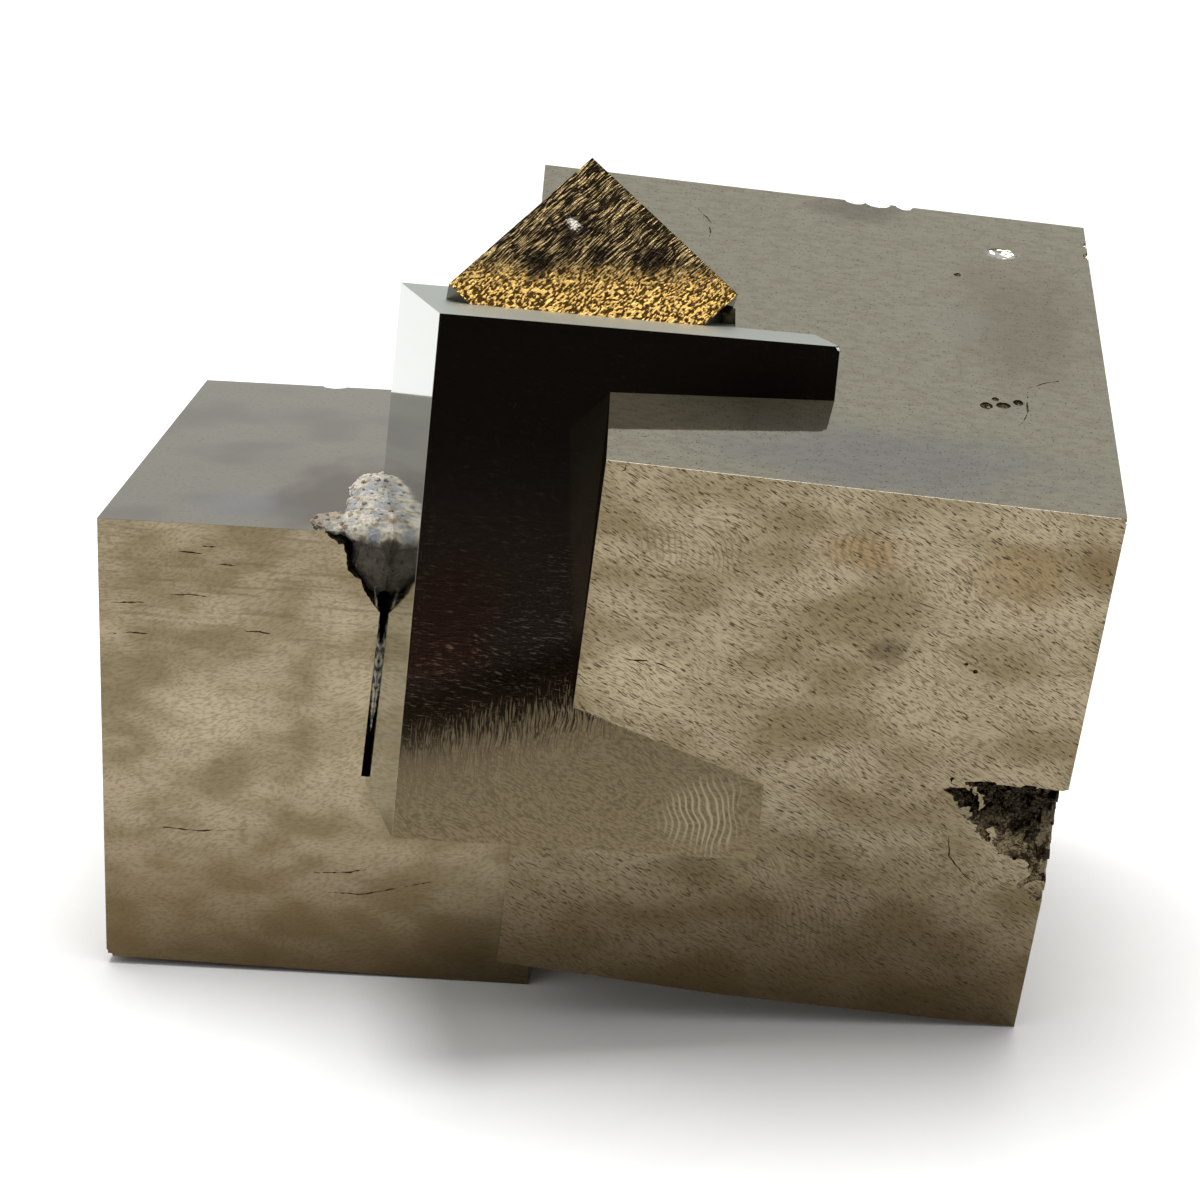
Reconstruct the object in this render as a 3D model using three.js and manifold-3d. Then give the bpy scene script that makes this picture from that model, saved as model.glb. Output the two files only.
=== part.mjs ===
// Pyrite specimen: four cubic crystals grown through one another, with a remnant of
// the pale matrix they grew in. Millimetres, +Z up, +X right and +Y away from the viewer.
// The origin is at the middle of the specimen's footprint, on the surface it rests on.
import * as THREE from 'three';
import { mergeVertices } from 'three/addons/utils/BufferGeometryUtils.js';
import Module from 'manifold-3d';

const wasm = await Module();
wasm.setup();

// Left crystal, a near cube. The specimen rests on its lower right edge.
const LEFT = {
  centre: [-13.75, 6.75, 13.18],
  size: [24.0, 27.9, 25.9],
  yaw: -7.1,
  pitch: 0.0,
  roll: 1.1,
};

// Right crystal, the largest. Its lower front right corner is the third point of rest.
const RIGHT = {
  centre: [10.0, -2.75, 21.35],
  size: [30.7, 31.6, 32.7],
  yaw: -1.8,
  pitch: 13.9,
  roll: 7.0,
};

// Middle crystal, a block with bright flat faces that stands out in front.
const MIDDLE = {
  centre: [-0.4, -8.25, 24.5],
  size: [20.9, 18.1, 27.3],
  yaw: 9.1,
  pitch: -9.2,
  roll: 7.1,
};

// Small crystal, a cube standing on one edge in the top of the middle crystal.
const SMALL = {
  centre: [-0.73, -3.3, 36.27],
  size: [10.87, 10.87, 10.87],
  yaw: 8.3,
  pitch: -38.4,
  roll: 49.5,
};

// Wear on the left crystal's lower right edge, deepest midway between the two ends that it rests on.
const WORN_EDGE = 0.5;
const WORN_EDGE_LENGTH = 28.4;

// Growth steps on the right crystal, in its own frame.
const RIGHT_UPPER_FRONT_STEP = 4.4;
const RIGHT_LOWER_STEP = 2.15;
const RIGHT_LOWER_STEP_TOP = -3.0;
const RIGHT_BACK_STEP_FRONT = -4.0;
const RIGHT_BACK_STEP_BOTTOM = -8.0;
const RIGHT_LEDGE = 0.15;
const RIGHT_LEDGE_BOTTOM = -0.4;
const RIGHT_FOOT_START = -0.5;
const RIGHT_FOOT_ANGLE = 2.6;

// Notch in the right crystal's top, where the small crystal kept it from growing.
const NOTCH_RIGHT = -4.5;
const NOTCH_FRONT = -6.0;
const NOTCH_BACK = 1.5;
const NOTCH_BOTTOM = 12.0;

// Growth step on the middle crystal: the arm at the top is wider than the block below it.
const MIDDLE_ARM_REACH = 1.6;
const MIDDLE_ARM_BOTTOM = 1.5;

// Fracture scar on the right crystal's front right edge, seen on its front face.
const SCAR_TIP = [9.3, -0.9];
const SCAR_FOOT = [15.1, -7.4];
const SCAR_LEDGE = -0.45;
const SCAR_LEDGE_SLOPE = 4.0;
const SCAR_SLOPE = 0.5;
const SCAR_ROUGHNESS = 0.45;
const SCAR_CELL = 0.45;
const SCAR_SEED = 7;

// Pocket at the left crystal's front top edge, where it meets the middle crystal.
const POCKET_OUTLINE = [
  [0.5, 14.0],
  [0.5, 12.8],
  [1.6, 12.2],
  [1.9, 10.8],
  [2.5, 10.2],
  [3.5, 8.5],
  [5.0, 8.5],
  [5.0, 14.0],
];
const POCKET_DEPTH = 2.6;

// Crack that runs down from the pocket between the left and middle crystals.
const CRACK_WIDTH = 0.25;
const CRACK_FRONT = 1.0;
const CRACK_BACK = 6.6;
const CRACK_TOP = -3.4;
const CRACK_BOTTOM = -13.3;

// Lumps of matrix in the pocket and along the middle crystal's left face: place and radii in
// the left crystal's frame.
const LUMPS = [
  { at: [3.3, -12.1, 12.8], radii: [2.6, 1.7, 0.9] },
  { at: [2.9, -9.6, 12.9], radii: [2.1, 2.4, 0.9] },
  { at: [2.0, -6.4, 12.9], radii: [1.4, 2.6, 0.8] },
  { at: [0.7, -12.2, 12.8], radii: [1.3, 1.4, 0.5] },
  { at: [3.3, -12.3, 11.3], radii: [1.2, 1.2, 1.8] },
];
const LUMP_ROUGHNESS = 0.14;
const LUMP_DETAIL = 3;
const MATRIX_GAP = 0.3;

// Pits and nicks: place in the crystal's own frame, and radius.
const PIT_ROUGHNESS = 0.25;
const PIT_DETAIL = 1;
const RIGHT_PITS = [
  { at: [8.7, -5.9, 16.35], radius: 0.45 },
  { at: [9.6, -5.7, 16.35], radius: 0.4 },
  { at: [10.4, -5.2, 16.35], radius: 0.35 },
  { at: [-10.2, -15.8, 16.2], radius: 0.35 },
  { at: [2.3, 15.8, 16.35], radius: 0.45 },
  { at: [3.6, 15.8, 16.35], radius: 0.55 },
  { at: [5.1, 15.8, 16.35], radius: 0.4 },
  { at: [10.4, 11.4, 16.35], radius: 0.6 },
  { at: [15.3, -15.8, 16.35], radius: 0.3 },
];
const LEFT_PITS = [
  { at: [-4.1, 13.95, 12.95], radius: 0.4 },
  { at: [-12.0, -13.95, -12.95], radius: 0.35 },
];
const MIDDLE_PITS = [
  { at: [10.45, -9.05, 13.65], radius: 0.3 },
];

const PYRITE_FINISH = { color: '#8f8265', roughness: 0.3, metalness: 1.0 };
const MATRIX_FINISH = { color: '#b4b0a6', roughness: 0.95, metalness: 0.0 };

// How far a cutter reaches past the surface, and the distance within which points are one.
const OUTSIDE = 3.0;
const SAME_POINT = 1e-4;

// Factors that scatter a point in space to a number that looks random.
const SCATTER = new THREE.Vector4(12.9898, 78.233, 37.719, 4.1414);
const SCATTER_SCALE = 43758.5453;

function radians(degrees) {
  return THREE.MathUtils.degToRad(degrees);
}

// A repeatable value from -1 to 1 for a point in space.
function roughAt(point, seed) {
  const phase = SCATTER.dot(new THREE.Vector4(point.x, point.y, point.z, seed));
  const mixed = Math.sin(phase) * SCATTER_SCALE;
  return 2 * (mixed - Math.floor(mixed)) - 1;
}

// Places a geometry made in a crystal's own frame into the specimen.
function place(geometry, crystal) {
  const turn = new THREE.Euler(radians(crystal.pitch), radians(crystal.roll), radians(crystal.yaw), 'ZXY');
  const frame = new THREE.Matrix4().makeRotationFromEuler(turn).setPosition(...crystal.centre);
  return geometry.applyMatrix4(frame);
}

function weld(geometry) {
  geometry.deleteAttribute('normal');
  geometry.deleteAttribute('uv');
  return mergeVertices(geometry, SAME_POINT);
}

function toSolid(geometry) {
  const welded = weld(geometry);
  const vertProperties = new Float32Array(welded.attributes.position.array);
  const triVerts = new Uint32Array(welded.index.array);
  return new wasm.Manifold(new wasm.Mesh({ numProp: 3, vertProperties, triVerts }));
}

function toGeometry(solid) {
  const mesh = solid.getMesh();
  const geometry = new THREE.BufferGeometry();
  geometry.setAttribute('position', new THREE.BufferAttribute(new Float32Array(mesh.vertProperties), 3));
  geometry.setIndex(new THREE.BufferAttribute(new Uint32Array(mesh.triVerts), 1));
  geometry.computeVertexNormals();
  return geometry;
}

// The lowest and highest corners of a whole crystal in its own frame.
function cornersOf(crystal) {
  const high = crystal.size.map((edge) => edge / 2);
  return { low: high.map((half) => -half), high };
}

// A block with its faces along a crystal's own axes.
function block(crystal, low, high) {
  const size = high.map((top, axis) => top - low[axis]);
  const middle = high.map((top, axis) => (top + low[axis]) / 2);
  return toSolid(place(new THREE.BoxGeometry(...size).translate(...middle), crystal));
}

// A rough round lump: a ball with its points moved in and out, then stretched.
function lump(crystal, at, radii, roughness, seed, detail) {
  const ball = weld(new THREE.IcosahedronGeometry(1, detail));
  const points = ball.attributes.position;
  const point = new THREE.Vector3();
  for (let i = 0; i < points.count; i += 1) {
    point.fromBufferAttribute(points, i);
    point.multiplyScalar(1 + roughness * roughAt(point, seed));
    points.setXYZ(i, point.x, point.y, point.z);
  }
  return toSolid(place(ball.scale(...radii).translate(...at), crystal));
}

function pitted(solid, crystal, pits) {
  const cut = (whole, pit, index) => {
    const radii = [pit.radius, pit.radius, pit.radius];
    return whole.subtract(lump(crystal, pit.at, radii, PIT_ROUGHNESS, index, PIT_DETAIL));
  };
  return pits.reduce(cut, solid);
}

// How far the fracture scar lies behind the right crystal's front face.
function scarDepth(x, z) {
  const run = new THREE.Vector2(SCAR_FOOT[0] - SCAR_TIP[0], SCAR_FOOT[1] - SCAR_TIP[1]).normalize();
  const fromEdge = (x - SCAR_TIP[0]) * -run.y + (z - SCAR_TIP[1]) * run.x;
  const ledge = SCAR_LEDGE_SLOPE * (SCAR_LEDGE - z);
  return Math.min(ledge, SCAR_SLOPE * fromEdge);
}

// The piece that broke away at the scar: a slab in front of the crystal with a rough back.
function scarCutter() {
  const { low, high } = cornersOf(RIGHT);
  const width = high[0] + OUTSIDE - SCAR_TIP[0] + OUTSIDE;
  const height = SCAR_LEDGE - SCAR_FOOT[1] + 2 * OUTSIDE;
  const across = Math.round(width / SCAR_CELL);
  const down = Math.round(height / SCAR_CELL);
  const slab = weld(new THREE.BoxGeometry(width, OUTSIDE, height, across, 1, down));
  const middleX = high[0] + OUTSIDE - width / 2;
  const middleZ = SCAR_LEDGE + OUTSIDE - height / 2;
  slab.translate(middleX, low[1] - 2 * OUTSIDE, middleZ);
  const points = slab.attributes.position;
  const point = new THREE.Vector3();
  const slabMiddle = low[1] - 2 * OUTSIDE;
  for (let i = 0; i < points.count; i += 1) {
    point.fromBufferAttribute(points, i);
    if (point.y > slabMiddle) {
      const depth = scarDepth(point.x, point.z) * (1 + SCAR_ROUGHNESS * roughAt(point, SCAR_SEED));
      points.setY(i, low[1] + Math.max(-OUTSIDE, depth));
    }
  }
  return toSolid(place(slab, RIGHT));
}

// What wear took from the left crystal's lower right edge: a long double pyramid set on the edge.
function wornEdge() {
  const { low, high } = cornersOf(LEFT);
  const spindle = new THREE.OctahedronGeometry(1).scale(WORN_EDGE, WORN_EDGE_LENGTH / 2, WORN_EDGE);
  return toSolid(place(spindle.translate(high[0], 0, low[2]), LEFT));
}

// The left crystal with the pocket, the crack and the bed of the matrix lumps cut into it.
function leftCrystal() {
  const { low, high } = cornersOf(LEFT);
  const outline = new THREE.Shape(POCKET_OUTLINE.map(([x, z]) => new THREE.Vector2(x, z)));
  const pocket = new THREE.ExtrudeGeometry(outline, { depth: POCKET_DEPTH + OUTSIDE, bevelEnabled: false });
  pocket.rotateX(Math.PI / 2).translate(0, low[1] + POCKET_DEPTH, 0);
  const middle = cornersOf(MIDDLE);
  const crack = block(
    MIDDLE,
    [middle.low[0] - CRACK_WIDTH, CRACK_FRONT, CRACK_BOTTOM],
    [middle.low[0] + OUTSIDE, CRACK_BACK, CRACK_TOP],
  );
  const whole = pitted(block(LEFT, low, high), LEFT, LEFT_PITS);
  const opened = whole.subtract(toSolid(place(pocket, LEFT))).subtract(crack);
  return opened.subtract(matrixLumps(MATRIX_GAP)).subtract(wornEdge());
}

// The right crystal: three blocks in step, the scar on its edge and a slightly raised foot.
function rightCrystal() {
  const { low, high } = cornersOf(RIGHT);
  const side = high[0] - RIGHT_LEDGE;
  const main = block(RIGHT, [low[0] + RIGHT_UPPER_FRONT_STEP, low[1], low[2]], [side, high[1], high[2]]);
  const ledge = block(RIGHT, [0, low[1], RIGHT_LEDGE_BOTTOM], high);
  const lower = block(
    RIGHT,
    [low[0] + RIGHT_LOWER_STEP, low[1], low[2]],
    [0, high[1], RIGHT_LOWER_STEP_TOP],
  );
  const back = block(
    RIGHT,
    [low[0], RIGHT_BACK_STEP_FRONT, RIGHT_BACK_STEP_BOTTOM],
    [0, high[1], high[2]],
  );
  const reach = RIGHT.size[0];
  const foot = new THREE.BoxGeometry(reach, 2 * reach, OUTSIDE).translate(-reach / 2, 0, -OUTSIDE / 2);
  foot.rotateY(radians(RIGHT_FOOT_ANGLE)).translate(RIGHT_FOOT_START, 0, low[2]);
  const stepped = main.add(ledge).add(lower).add(back);
  const footed = stepped.subtract(toSolid(place(foot, RIGHT)));
  const notched = footed.subtract(smallCrystalNotch());
  return pitted(notched.subtract(scarCutter()), RIGHT, RIGHT_PITS);
}

// The room beside the small crystal that the right crystal leaves free.
function smallCrystalNotch() {
  const { low, high } = cornersOf(RIGHT);
  return block(
    RIGHT,
    [low[0] - OUTSIDE, NOTCH_FRONT, NOTCH_BOTTOM],
    [NOTCH_RIGHT, NOTCH_BACK, high[2] + OUTSIDE],
  );
}

// The middle crystal: a block with a wider arm at its top.
function middleCrystal() {
  const { low, high } = cornersOf(MIDDLE);
  const shaft = block(MIDDLE, low, [high[0] - MIDDLE_ARM_REACH, high[1], high[2]]);
  const arm = block(MIDDLE, [0, low[1], MIDDLE_ARM_BOTTOM], high);
  return pitted(shaft.add(arm), MIDDLE, MIDDLE_PITS);
}

function smallCrystal() {
  const { low, high } = cornersOf(SMALL);
  return block(SMALL, low, high);
}

// All the lumps of matrix in one solid, each grown by a margin.
function matrixLumps(margin) {
  const lumps = LUMPS.map(({ at, radii }, index) => {
    const grown = radii.map((radius) => radius + margin);
    return lump(LEFT, at, grown, LUMP_ROUGHNESS, index, LUMP_DETAIL);
  });
  return lumps.reduce((whole, next) => whole.add(next));
}

// The matrix that is left: the lumps, kept clear of the middle crystal.
function matrixRemnant() {
  const { low, high } = cornersOf(MIDDLE);
  const clear = block(MIDDLE, [low[0] - MATRIX_GAP, low[1], low[2]], high);
  return matrixLumps(0).subtract(clear);
}

function piece(name, solid, finish) {
  const material = new THREE.MeshStandardMaterial({ ...finish, flatShading: true });
  const mesh = new THREE.Mesh(toGeometry(solid), material);
  mesh.name = name;
  return mesh;
}

const cluster = leftCrystal().add(rightCrystal()).add(middleCrystal()).add(smallCrystal());

const specimen = new THREE.Group();
specimen.add(piece('pyrite_cluster', cluster, PYRITE_FINISH));
specimen.add(piece('matrix_remnant', matrixRemnant(), MATRIX_FINISH));

export default specimen;
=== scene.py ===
# %% [markdown]
# A pyrite specimen. Pyrite grows as cubes with flat, bright faces. Here four of them grew
# through one another, and a lump of the pale marl that they grew in is still caught between
# two of them. The solids of the part are loaded first, as a fixed frame, and every piece
# below is made where its solid stands.

# %% Load the fixed frame
import math
from collections import namedtuple

import bmesh
import bpy
from mathutils import Matrix, Vector, noise


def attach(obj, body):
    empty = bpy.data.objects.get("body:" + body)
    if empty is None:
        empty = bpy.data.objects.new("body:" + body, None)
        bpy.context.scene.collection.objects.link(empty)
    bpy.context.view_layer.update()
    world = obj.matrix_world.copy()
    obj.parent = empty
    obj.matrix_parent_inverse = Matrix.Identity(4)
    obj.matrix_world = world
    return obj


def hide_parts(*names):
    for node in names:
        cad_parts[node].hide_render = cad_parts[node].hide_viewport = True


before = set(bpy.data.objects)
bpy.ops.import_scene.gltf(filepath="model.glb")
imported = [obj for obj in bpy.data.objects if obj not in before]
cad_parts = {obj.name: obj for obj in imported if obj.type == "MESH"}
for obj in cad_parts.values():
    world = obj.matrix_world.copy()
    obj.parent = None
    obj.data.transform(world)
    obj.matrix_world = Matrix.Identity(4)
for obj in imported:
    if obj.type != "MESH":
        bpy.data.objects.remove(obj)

MM = 0.001
scene = bpy.context.scene
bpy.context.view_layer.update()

# %% [markdown]
# Each crystal is a cube with its own turn in space, so each one gets a frame of its own: x to
# the right along its front face, y into it and z up it, in millimetres from its middle. Every
# ledge, pit and streak below is then given where it lies on its own crystal.

# %% The four crystals
Crystal = namedtuple("Crystal", "centre size yaw pitch roll")
LEFT = Crystal((-13.75, 6.75, 13.18), (24.0, 27.9, 25.9), yaw=-7.1, pitch=0.0, roll=1.1)
RIGHT = Crystal((10.0, -2.75, 21.35), (30.7, 31.6, 32.7), yaw=-1.8, pitch=13.9, roll=7.0)
MIDDLE = Crystal((-0.4, -8.25, 24.5), (20.9, 18.1, 27.3), yaw=9.1, pitch=-9.2, roll=7.1)
SMALL = Crystal((-0.73, -3.3, 36.27), (10.87, 10.87, 10.87), yaw=8.3, pitch=-38.4, roll=49.5)


def turn_of(crystal):
    """The turn of a crystal's own frame, as a matrix."""
    yaw = Matrix.Rotation(math.radians(crystal.yaw), 4, "Z")
    pitch = Matrix.Rotation(math.radians(crystal.pitch), 4, "X")
    roll = Matrix.Rotation(math.radians(crystal.roll), 4, "Y")
    return yaw @ pitch @ roll


def frame_of(crystal):
    """Takes millimetres in a crystal's own frame to metres in the specimen."""
    return Matrix.Scale(MM, 4) @ Matrix.Translation(crystal.centre) @ turn_of(crystal)


def corners_of(crystal):
    """The lowest and highest corner of a crystal in its own frame."""
    high = Vector(crystal.size) / 2
    return -high, high


for title, crystal in (("left", LEFT), ("right", RIGHT), ("middle", MIDDLE), ("small", SMALL)):
    leaning = math.degrees(turn_of(crystal).to_3x3().col[2].angle((0, 0, 1)))
    print(f"{title} crystal: {crystal.size} mm, its top leans {leaning:.1f} degrees")

# %% [markdown]
# Finishes and node trees are built from nodes, so one small function adds a node, sets it up
# and fills its inputs, either with a value or with a wire from another node.

# %% One function that adds a node
def add(tree, kind, wires=None, **settings):
    """Adds a node with its settings, and fills its inputs with values or wires."""
    made = tree.nodes.new(kind)
    for name, value in settings.items():
        setattr(made, name, value)
    for socket, value in (wires or {}).items():
        if isinstance(value, bpy.types.NodeSocket):
            tree.links.new(value, made.inputs[socket])
        else:
            made.inputs[socket].default_value = value
    return made


def colour(code):
    """An sRGB hex code as linear red, green, blue and alpha."""
    shares = [int(code[start : start + 2], 16) / 255 for start in (1, 3, 5)]
    linear = [s / 12.92 if s <= 0.04045 else ((s + 0.055) / 1.055) ** 2.4 for s in shares]
    return (*linear, 1.0)


print("mid grey #808080 is", round(colour("#808080")[0], 3), "in linear light")

# %% [markdown]
# Pyrite is a metal to the eye: it has no colour of its own beneath the surface, and what shows
# is what it mirrors, tinted brassy. The face's fine relief decides how sharp that mirror is.
# The patterns are read in each crystal's own frame, in millimetres, so a streak follows the
# crystal's edges and its size is a real size. Wrapping an image would not do that.

# %% Patterns shared by the finishes
FRONT = (0.0, -1.0, 0.0)
TOP = (0.0, 0.0, 1.0)
FACING_STARTS = 0.6
FACING_FULL = 0.85
EVERYWHERE = 1.0
STAIN_RIM_SIZE = 0.4
STAIN_FULL = 0.3
RIPPLE_WAVER = 2.0
RIPPLE_WAVER_SIZE = 4.0


def new_finish(name, roughness, metallic=1.0):
    """A new material with its tree and shader."""
    material = bpy.data.materials.new(name)
    material.use_nodes = True
    shader = material.node_tree.nodes["Principled BSDF"]
    shader.inputs["Roughness"].default_value = roughness
    shader.inputs["Metallic"].default_value = metallic
    return material, material.node_tree, shader


def in_crystal(tree, crystal):
    """Each point of the surface in a crystal's own frame, in millimetres."""
    place = add(tree, "ShaderNodeTexCoord")
    wires = {
        "Vector": place.outputs["Object"],
        "Location": Vector(crystal.centre) * MM,
        "Rotation": turn_of(crystal).to_euler("XYZ"),
        "Scale": (MM, MM, MM),
    }
    return add(tree, "ShaderNodeMapping", wires, vector_type="TEXTURE").outputs["Vector"]


def height_in(tree, here):
    """The height of each point in the frame that it is given in."""
    return add(tree, "ShaderNodeSeparateXYZ", {0: here}).outputs["Z"]


def along_axis(tree, here, axis):
    """How far each place lies along an axis."""
    wires = {0: here, 1: axis}
    return add(tree, "ShaderNodeVectorMath", wires, operation="DOT_PRODUCT").outputs["Value"]


def worked(tree, operation, *values):
    """The result of a sum, a product or the like, from values or wires."""
    return add(tree, "ShaderNodeMath", dict(enumerate(values)), operation=operation).outputs[0]


def times(tree, first, second):
    """Two masks at once, or a mask and its strength."""
    return worked(tree, "MULTIPLY", first, second)


def fade(tree, value, start, end):
    """0 where a value is at its start, 1 where it is at its end, and a smooth rise between."""
    wires = {"Value": value, "From Min": start, "From Max": end}
    return add(tree, "ShaderNodeMapRange", wires, interpolation_type="SMOOTHSTEP").outputs["Result"]


def between(tree, share, low, high):
    """A value that goes from low to high as a mask goes from 0 to 1."""
    wires = {"Value": share, "To Min": low, "To Max": high}
    return add(tree, "ShaderNodeMapRange", wires).outputs["Result"]


def facing(tree, crystal, axis):
    """1 on a crystal's faces that look along one of its own axes, 0 on its other faces."""
    outward = turn_of(crystal).to_3x3() @ Vector(axis)
    normal = add(tree, "ShaderNodeTexCoord").outputs["Normal"]
    return fade(tree, along_axis(tree, normal, outward), FACING_STARTS, FACING_FULL)


def cloud(tree, here, size, detail=0.0):
    """Soft noise in clouds of that size, as a value and as a colour."""
    wires = {"Vector": here, "Scale": 1 / size, "Detail": detail}
    return add(tree, "ShaderNodeTexNoise", wires).outputs


def bent(tree, here, size, by):
    """Places pushed about by noise of that size in mm, so that what is drawn on them wavers."""
    wires = {0: cloud(tree, here, size)["Color"], 1: (by, by, by), 2: here}
    return add(tree, "ShaderNodeVectorMath", wires, operation="MULTIPLY_ADD").outputs["Vector"]


def patches(tree, here, size, low, high, lean=0.0, detail=1.0):
    """Noise in patches of that size in mm, 0 below low and 1 above high, leaning about y."""
    wires = {"Vector": here, "Rotation": (0.0, math.radians(lean), 0.0), "Scale": size}
    placed = add(tree, "ShaderNodeMapping", wires, vector_type="TEXTURE").outputs["Vector"]
    return fade(tree, cloud(tree, placed, 1.0, detail)["Fac"], low, high)


def spot(tree, here, centre, radii, ragged=0.8):
    """A stain: 1 in its middle and 0 outside its radii in mm, with a ragged rim."""
    wires = {"Vector": here, "Location": centre, "Scale": radii}
    placed = add(tree, "ShaderNodeMapping", wires, vector_type="TEXTURE").outputs["Vector"]
    away = add(tree, "ShaderNodeVectorMath", {0: placed}, operation="LENGTH").outputs["Value"]
    uneven = cloud(tree, placed, STAIN_RIM_SIZE, detail=1.0)["Fac"]
    rim = worked(tree, "MULTIPLY_ADD", uneven, ragged, away)
    return fade(tree, rim, 1.0 + ragged / 2, STAIN_FULL + ragged / 2)


def ripples(tree, here, centre, spacing):
    """Rings like a fingerprint round a centre, from -1 to 1, with their spacing in mm."""
    wobble = cloud(tree, here, RIPPLE_WAVER_SIZE * spacing)["Fac"]
    wires = {0: here, 1: centre}
    away = add(tree, "ShaderNodeVectorMath", wires, operation="DISTANCE").outputs["Value"]
    uneven = worked(tree, "MULTIPLY_ADD", wobble, RIPPLE_WAVER * spacing, away)
    return worked(tree, "SINE", times(tree, uneven, math.tau / spacing))


def only_on(tree, region, coats):
    """The same coats, kept to the region that a mask marks."""
    return [(times(tree, region, mask), strength, tint) for mask, strength, tint in coats]


def coated(tree, ground, coats):
    """A ground colour with coats over it, each given as mask, strength and colour."""
    seen = colour(ground)
    for mask, strength, tint in coats:
        share = times(tree, mask, strength)
        mixed = add(tree, "ShaderNodeMix", {0: share, 6: seen, 7: colour(tint)}, data_type="RGBA")
        seen = mixed.outputs[2]
    return seen


def relief(tree, heights):
    """A bump for each height pattern, with its real depth in mm."""
    normal = None
    for height, depth in heights:
        wires = {"Height": height, "Distance": abs(depth) * MM}
        if normal:
            wires["Normal"] = normal
        normal = add(tree, "ShaderNodeBump", wires, invert=depth < 0).outputs["Normal"]
    return normal


# %% [markdown]
# The left cube's front is satin, built of thin layers. Fine strokes cross it, it is paler where
# it meets the middle block, and darker at its foot, which is painted shade for the shadowed floor
# that it mirrors there. Its top is smoother and greyer, with a brown stain where the marl clings.

# %% Finish of the left cube
SATIN = 0.3
POLISHED = 0.05
FRONT_TAN = "#A0937A"
FRONT_BROWN = "#807358"
FRONT_PALE = "#C0B498"
STROKE_BROWN = "#63563F"
# Painted shade: the fronts turn darker brown towards their foot, for the shadowed floor close by that they
# mirror.
FOOT_SHADE_BROWN = "#57462C"
LEFT_TOP_GREY = "#8E8978"
LEFT_SPECK_GREY = "#746F62"
LEFT_CLOUD_GREY = "#7C766A"
SMUDGE_BLUE = "#81838A"
STAIN_BROWN = "#5E5344"
LEFT_FACE = -13.95
LEFT_TOP = 12.95
LEFT_PALE_SPOTS = (
    ((1.7, LEFT_FACE, 3.0), (2.4, 4.0, 7.5)),
    ((-2.95, LEFT_FACE, 9.8), (1.8, 4.0, 0.9)),
    ((-6.0, LEFT_FACE, 2.0), (4.0, 4.0, 3.0)),
)
LEFT_STAIN = ((0.0, -7.5, LEFT_TOP), (4.6, 8.0, 1.5))
LEFT_BLUE_SMUDGE = ((-4.6, -10.0, LEFT_TOP), (4.2, 3.2, 1.0))
LEFT_MOTTLE = {"size": (4.0, 4.0, 2.0), "low": 0.35, "high": 0.7}
LEFT_WAVER = {"size": 3.0, "by": 1.2}
LEFT_STROKES = {"size": (0.3, 0.3, 0.11), "low": 0.4, "high": 0.68, "lean": -14.0, "detail": 2.0}
LEFT_LAYERS = {"size": (4.0, 4.0, 0.22), "low": 0.5, "high": 0.72, "lean": 1.0}
LEFT_LAYERS_RISE = (2.0, 9.0)
LEFT_FOOT_SHADE_FALL = (-1.0, -14.0)
LEFT_SPECKS = {"size": (0.25, 0.25, 0.25), "low": 0.5, "high": 0.9}
LEFT_CLOUDS = {"size": (5.0, 4.0, 3.0), "low": 0.4, "high": 0.75}


def left_cube_face():
    """Satin pyrite in thin layers: a soft tan sheen with fine wavering strokes."""
    material, tree, shader = new_finish("Pyrite, satin layered cube face", SATIN)
    here = in_crystal(tree, LEFT)
    height = height_in(tree, here)
    front = facing(tree, LEFT, FRONT)
    top = facing(tree, LEFT, TOP)
    strokes = patches(tree, bent(tree, here, **LEFT_WAVER), **LEFT_STROKES)
    layers = patches(tree, here, **LEFT_LAYERS)
    on_top = [
        (EVERYWHERE, 1.0, LEFT_TOP_GREY),
        (patches(tree, here, **LEFT_SPECKS), 1.0, LEFT_SPECK_GREY),
        (patches(tree, here, **LEFT_CLOUDS), 1.0, LEFT_CLOUD_GREY),
        (spot(tree, here, *LEFT_BLUE_SMUDGE), 0.5, SMUDGE_BLUE),
        (spot(tree, here, *LEFT_STAIN), 0.85, STAIN_BROWN),
    ]
    coats = [
        (patches(tree, here, **LEFT_MOTTLE), 1.0, FRONT_BROWN),
        *((spot(tree, here, *place), 0.3, FRONT_PALE) for place in LEFT_PALE_SPOTS),
        (times(tree, layers, fade(tree, height, *LEFT_LAYERS_RISE)), 0.4, STROKE_BROWN),
        (times(tree, front, strokes), 0.45, STROKE_BROWN),
        # Painted shade at the foot of the front.
        (fade(tree, height, *LEFT_FOOT_SHADE_FALL), 0.8, FOOT_SHADE_BROWN),
        *only_on(tree, top, on_top),
    ]
    tree.links.new(coated(tree, FRONT_TAN, coats), shader.inputs["Base Color"])
    tree.links.new(between(tree, front, POLISHED, SATIN), shader.inputs["Roughness"])
    return material


left_pyrite = left_cube_face()
print("finish:", left_pyrite.name)
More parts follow.
